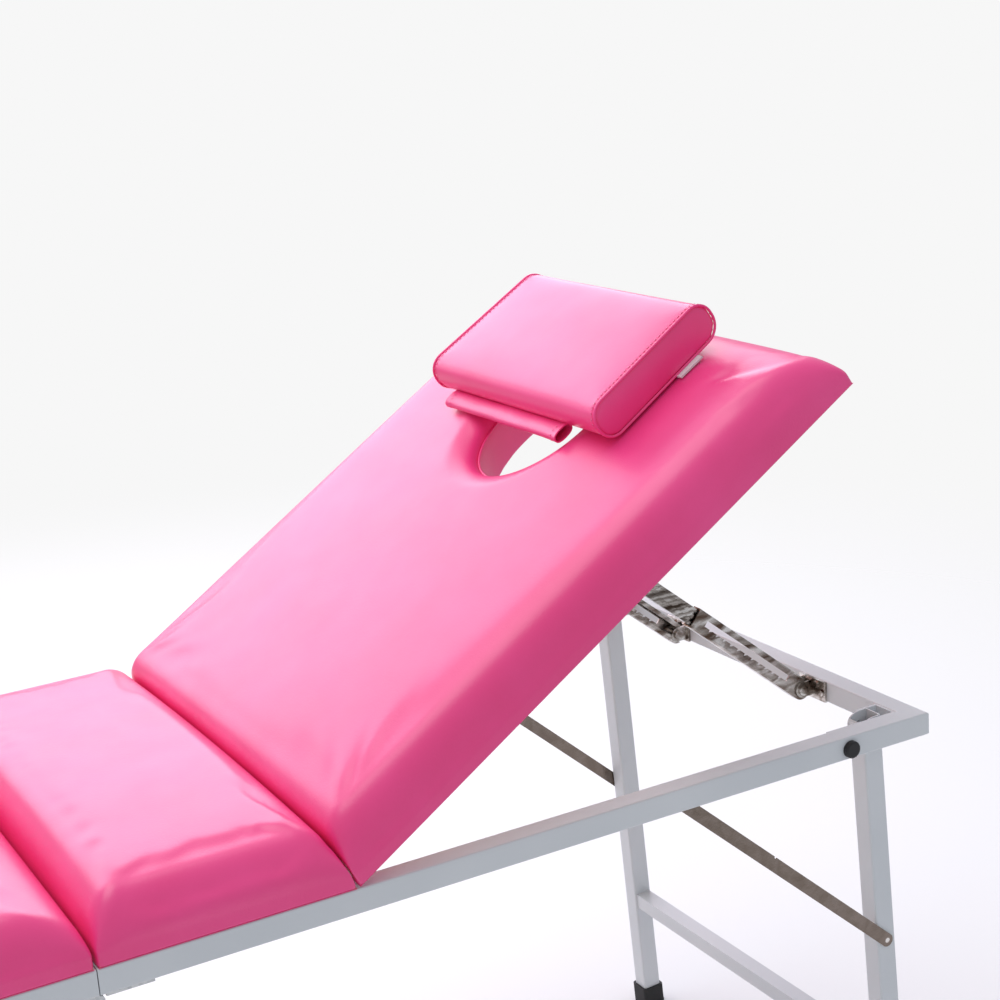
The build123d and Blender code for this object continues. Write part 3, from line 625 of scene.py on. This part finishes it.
# --- pillow, strap and hems ---------------------------------------------------------------
PILLOW_VOXEL = 5 * MM
PILLOW_ROUND = 20 * MM
PILLOW_SWELL = 2 * MM
PILLOW_PUFF = 5 * MM
PILLOW_TAPER = 0.024
SEAM_WIDTH = 5 * MM
WELT_RADIUS = 1.5 * MM
STITCH_PITCH = 6 * MM
STRAP_TUCK = 8 * MM
STRAP_WALL = 1.5 * MM
STRAP_HEM = 13 * MM
STRAP_SQUARENESS = 0.8


def stitch_row(name, path, ups, length=4.2 * MM, width=1.1 * MM):
    """A row of thread stitches on the pillow, each one lying on the surface."""
    bpy.ops.mesh.primitive_uv_sphere_add(segments=8, ring_count=4, radius=0.5)
    stitch = bpy.context.active_object
    pattern = bmesh.new()
    pattern.from_mesh(stitch.data)
    bpy.data.objects.remove(stitch)
    row = bmesh.new()
    travelled, target = 0.0, STITCH_PITCH / 2
    for first, second, up in zip(path, path[1:], ups):
        run = (second - first).length
        while run > 0 and travelled + run >= target:
            centre = first.lerp(second, (target - travelled) / run)
            ahead = (second - first).normalized()
            across = up.cross(ahead).normalized()
            turn = Matrix((ahead * length, across * width, up * width * 0.8)).transposed()
            spot = Matrix.Translation(centre) @ turn.to_4x4()
            copied = pattern.copy()
            bmesh.ops.transform(copied, matrix=spot, verts=copied.verts)
            mesh = bpy.data.meshes.new("stitch")
            copied.to_mesh(mesh)
            row.from_mesh(mesh)
            bpy.data.meshes.remove(mesh)
            copied.free()
            target += STITCH_PITCH
        travelled += run
    mesh = bpy.data.meshes.new(name)
    bmesh.ops.recalc_face_normals(row, faces=row.faces)
    row.to_mesh(mesh)
    row.free()
    pattern.free()
    piece = bpy.data.objects.new(name, mesh)
    bpy.context.scene.collection.objects.link(piece)
    settle(piece, RECLINE)
    dress(piece, "pillow", "pink_vinyl", THREAD)


def rounded_section(half_x, half_z, radius, steps=9):
    """Points round a rounded rectangle in x and z, with the outward direction at each."""
    points, outs = [], []
    for quarter, (sx, sz) in enumerate(((1, 1), (-1, 1), (-1, -1), (1, -1))):
        for step in range(steps):
            angle = math.radians(90 * (quarter + step / (steps - 1)))
            out = Vector((math.cos(angle), math.sin(angle)))
            points.append(Vector((sx * (half_x - radius), sz * (half_z - radius))) + out * radius)
            outs.append(out)
    return points, outs


def build_pillow():
    """The loose pillow: a wrapped band and two stuffed end panels joined by a topstitched seam."""
    low, high = local_box("pillow_cover", RECLINE)
    swell = Vector((PILLOW_SWELL, PILLOW_SWELL, PILLOW_SWELL * 0.7))
    low, high = low + Vector((swell.x, swell.y, 0.2 * MM)), high - swell
    middle = (low + high) / 2
    half = (high - low) / 2
    piece = block("pillow", low, high)
    select_edges(piece, lambda a, b: abs(a.y - b.y) > half.y)
    bpy.ops.mesh.bevel(offset=PILLOW_ROUND, segments=10)
    bpy.ops.object.mode_set(mode="OBJECT")
    remesh(piece, PILLOW_VOXEL)
    held = []
    for vertex in piece.data.vertices:
        co = vertex.co
        past = Vector((abs(co.x - middle.x) - half.x, abs(co.z - middle.z) - half.z))
        past += Vector((PILLOW_ROUND, PILLOW_ROUND))
        depth = PILLOW_ROUND - (past.length if min(past) > 0 else max(past))
        on_seam = (half.y - abs(co.y - middle.y) < 1.2 * PILLOW_VOXEL
                   and depth < 0.8 * PILLOW_VOXEL)
        if on_seam or (co.z < low.z + 0.5 * MM and max(past) < PILLOW_ROUND * 1.05):
            held.append(vertex.index)
        co.y = middle.y + (co.y - middle.y) * (1 - PILLOW_TAPER * (co.x - middle.x) / half.x)
    inflate(piece, held, [PILLOW_PUFF] * len(piece.data.vertices), pressure=5.0)
    for vertex in piece.data.vertices:
        vertex.co.z = max(vertex.co.z, low.z)
    subdivide(piece)
    settle(piece, RECLINE)
    dress(piece, "pillow", "pink_vinyl", VINYL, smooth=60.0)
    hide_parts("pillow_cover", "pillow_foam")
    section, outs = rounded_section(half.x - 0.4 * MM, half.z - 0.4 * MM, PILLOW_ROUND)
    for side, label in ((-1, "near"), (1, "far")):
        rim, row, ups = [], [], []
        for point, out in zip(section + section[:1], outs + outs[:1]):
            width = (half.y - 0.8 * MM) * (1 - PILLOW_TAPER * point.x / half.x)
            rim.append(middle + Vector((point.x, side * width, point.y)))
            ups.append(Vector((out.x, 0, out.y)))
            row.append(rim[-1] - Vector((0, side * SEAM_WIDTH, 0)) + ups[-1] * 0.9 * MM)
        pillow_welt(f"pillow_welt_{label}", rim[:-1])
        stitch_row(f"pillow_stitches_{label}", row, ups)


def pillow_welt(name, ring):
    """The round welt in a seam: a curve with thickness, made a mesh."""
    curve = bpy.data.curves.new(name, "CURVE")
    curve.dimensions = "3D"
    curve.bevel_depth = WELT_RADIUS
    curve.bevel_resolution = 3
    line = curve.splines.new("POLY")
    line.points.add(len(ring) - 1)
    for control, point in zip(line.points, ring):
        control.co = (*point, 1.0)
    line.use_cyclic_u = True
    holder = bpy.data.objects.new(name, curve)
    bpy.context.scene.collection.objects.link(holder)
    bpy.context.view_layer.update()
    depsgraph = bpy.context.evaluated_depsgraph_get()
    mesh = bpy.data.meshes.new_from_object(holder.evaluated_get(depsgraph))
    bpy.data.objects.remove(holder)
    piece = bpy.data.objects.new(name, mesh)
    bpy.context.scene.collection.objects.link(piece)
    settle(piece, RECLINE)
    dress(piece, "pillow", "pink_vinyl", VINYL)


def squared(value):
    """A sine or cosine pushed outwards, which makes a circle squarer."""
    return math.copysign(abs(value) ** STRAP_SQUARENESS, value)


def build_strap():
    """The strap's end, rolled into an open tube with a turned and stitched hem at each mouth."""
    low, high = local_box("pillow_strap", RECLINE)
    high.x += STRAP_TUCK
    middle, half = (low + high) / 2, (high - low) / 2
    bpy.ops.mesh.primitive_cylinder_add(vertices=40, radius=1.0, depth=2 * half.y,
                                        end_fill_type="NOTHING", location=middle,
                                        rotation=(math.pi / 2, 0, 0))
    strap = bpy.context.active_object
    strap.name = "strap_roll"
    settle(strap, LEVEL)
    only(strap)
    bpy.ops.object.mode_set(mode="EDIT")
    bpy.ops.mesh.select_all(action="SELECT")
    bpy.ops.mesh.subdivide(number_cuts=1)
    bpy.ops.object.mode_set(mode="OBJECT")
    bpy.ops.object.select_all(action="DESELECT")
    lengthwise = strap.modifiers.new("length", "SUBSURF")
    lengthwise.subdivision_type = "SIMPLE"
    lengthwise.levels = lengthwise.render_levels = 3
    apply_all(strap)
    for vertex in strap.data.vertices:
        co = vertex.co
        angle = math.atan2(co.z - middle.z, co.x - middle.x)
        hem = 0.8 * MM if half.y - abs(co.y - middle.y) < STRAP_HEM else 0.0
        wave = 0.35 * MM * math.sin(co.y * 90.0) * math.sin(2 * angle + co.y * 25.0)
        inward = hem + wave - 1.2 * MM
        co.x = middle.x + (half.x + inward) * squared(math.cos(angle))
        co.z = middle.z + (half.z + inward) * squared(math.sin(angle))
    thick = strap.modifiers.new("wall", "SOLIDIFY")
    thick.thickness = STRAP_WALL
    thick.offset = -1.0
    apply_all(strap)
    settle(strap, RECLINE)
    dress(strap, "pillow", "pink_vinyl", VINYL, smooth=50.0)
    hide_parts("pillow_strap")
    for label, end in (("near", low.y + 9 * MM), ("far", high.y - 9 * MM)):
        path, ups = [], []
        for step in range(25):
            angle = 2 * math.pi * step / 24
            cos, sin = math.cos(angle), math.sin(angle)
            path.append(Vector((middle.x + (half.x - 0.3 * MM) * squared(cos), end,
                                middle.z + (half.z - 0.3 * MM) * squared(sin))))
            ups.append(Vector((cos, 0, sin)))
        stitch_row(f"strap_stitches_{label}", path, ups, length=3.2 * MM, width=0.9 * MM)


HEM_WIDTH = 27 * MM
HEM_EDGE = 1.2 * MM
HEM_DROP = 0.35 * MM


def build_hem(label, place, body):
    """The cover's edge folded under its board."""
    low, high = local_box(f"{label}_cover", place)
    size = high - low
    bpy.ops.mesh.primitive_plane_add(size=1.0, location=((low.x + high.x) / 2, (low.y + high.y) / 2,
                                                         low.z - HEM_DROP))
    hem = bpy.context.active_object
    hem.name = f"{label}_hem"
    hem.scale = (size.x - 2 * HEM_EDGE, size.y - 2 * HEM_EDGE, 1.0)
    bpy.context.view_layer.update()
    settle(hem, LEVEL)
    only(hem)
    bpy.ops.object.mode_set(mode="EDIT")
    bpy.ops.mesh.select_all(action="SELECT")
    bpy.ops.mesh.inset(thickness=HEM_WIDTH, depth=0.0)
    bpy.ops.mesh.delete(type="FACE")
    bpy.ops.object.mode_set(mode="OBJECT")
    thick = hem.modifiers.new("leathercloth", "SOLIDIFY")
    thick.thickness = 0.5 * MM
    thick.offset = 0.0
    apply_all(hem)
    settle(hem, place)
    dress(hem, body, "pink_vinyl", VINYL)


build_pillow()
build_strap()
build_hem("backrest", RECLINE, "backrest")
build_hem("seat", LEVEL, "head_frame")
build_hem("leg_section", LEVEL, "foot_frame")


# --- floor, light and camera --------------------------------------------------------------
FLOOR_CLEAR = (0.7, 4.2)


def build_stage():
    """A plain pale floor that fades out into an evenly lit pale background."""
    bpy.ops.mesh.primitive_circle_add(vertices=96, radius=FLOOR_CLEAR[1], fill_type="NGON",
                                      location=(0, 0, -0.001))
    floor = bpy.context.active_object
    floor.name = "studio_floor"
    material, tree, place = new_material("studio_floor")
    far = add_node(tree, "ShaderNodeVectorMath", {0: place}, operation="LENGTH")
    fade = add_node(tree, "ShaderNodeMapRange", {
        "Value": far.outputs["Value"],
        "From Min": FLOOR_CLEAR[0],
        "From Max": FLOOR_CLEAR[1] * 0.95,
        "To Min": 1.0,
        "To Max": 0.0,
    }, interpolation_type="SMOOTHSTEP")
    shader = add_node(tree, "ShaderNodeBsdfPrincipled", {"Alpha": fade.outputs["Result"]})
    shader.inputs["Base Color"].default_value = colour("#F7F7F7")
    shader.inputs["Roughness"].default_value = 0.9
    finish_material(tree, shader)
    floor.data.materials.append(material)

    world = bpy.data.worlds.new("studio")
    bpy.context.scene.world = world
    world.use_nodes = True
    tree = world.node_tree
    tree.nodes.clear()
    seen = add_node(tree, "ShaderNodeBackground", {"Color": colour("#F7F7F7"), "Strength": 1.0})
    fill = add_node(tree, "ShaderNodeBackground", {"Color": colour("#EAEEF6"),
                                                   "Strength": WORLD_FILL})
    ray = add_node(tree, "ShaderNodeLightPath").outputs["Is Camera Ray"]
    both = add_node(tree, "ShaderNodeMixShader", {0: ray, 1: fill.outputs["Background"],
                                                  2: seen.outputs["Background"]})
    add_node(tree, "ShaderNodeOutputWorld", {"Surface": both.outputs["Shader"]})


def softbox(name, place, target, size, power, tint):
    """A square area light aimed at a point."""
    data = bpy.data.lights.new(name, "AREA")
    data.shape = "RECTANGLE"
    data.size, data.size_y = size
    data.energy = power
    data.color = colour(tint)[:3]
    lamp = bpy.data.objects.new(name, data)
    bpy.context.scene.collection.objects.link(lamp)
    aim = (Vector(target) - Vector(place)).to_track_quat("-Z", "Y").to_matrix().to_4x4()
    lamp.matrix_world = Matrix.Translation(place) @ aim


WORLD_FILL = 0.66


def build_lights():
    softbox("back_wall", (0.6, 3.6, 2.6), (0.1, 0.0, 0.7), (5.0, 2.6), 125, "#FBEFFF")
    softbox("overhead", (-0.4, 0.4, 3.4), (0.1, 0.0, 0.7), (2.4, 2.0), 38, "#FFFFFF")


CAMERA_PLACE = Vector((-0.3803, -1.7843, 1.3908))
CAMERA_HEADING = 28.449
CAMERA_DROP = 15.082
CAMERA_TILT = 4.080
CAMERA_LENS = 69.04


def build_camera():
    heading, drop, tilt = (math.radians(a) for a in (CAMERA_HEADING, CAMERA_DROP, CAMERA_TILT))
    ahead = Vector((math.sin(heading) * math.cos(drop), math.cos(heading) * math.cos(drop),
                    -math.sin(drop)))
    right = Vector((math.cos(heading), -math.sin(heading), 0))
    down = ahead.cross(right)
    turned_right = right * math.cos(tilt) + down * math.sin(tilt)
    turned_down = down * math.cos(tilt) - right * math.sin(tilt)
    turn = Matrix((turned_right, -turned_down, -ahead)).transposed().to_4x4()
    data = bpy.data.cameras.new("camera")
    data.sensor_width = 36.0
    data.lens = CAMERA_LENS
    camera = bpy.data.objects.new("camera", data)
    bpy.context.scene.collection.objects.link(camera)
    camera.matrix_world = Matrix.Translation(CAMERA_PLACE) @ turn
    bpy.context.scene.camera = camera


build_stage()
build_lights()
build_camera()
bpy.context.scene.view_settings.view_transform = "Standard"
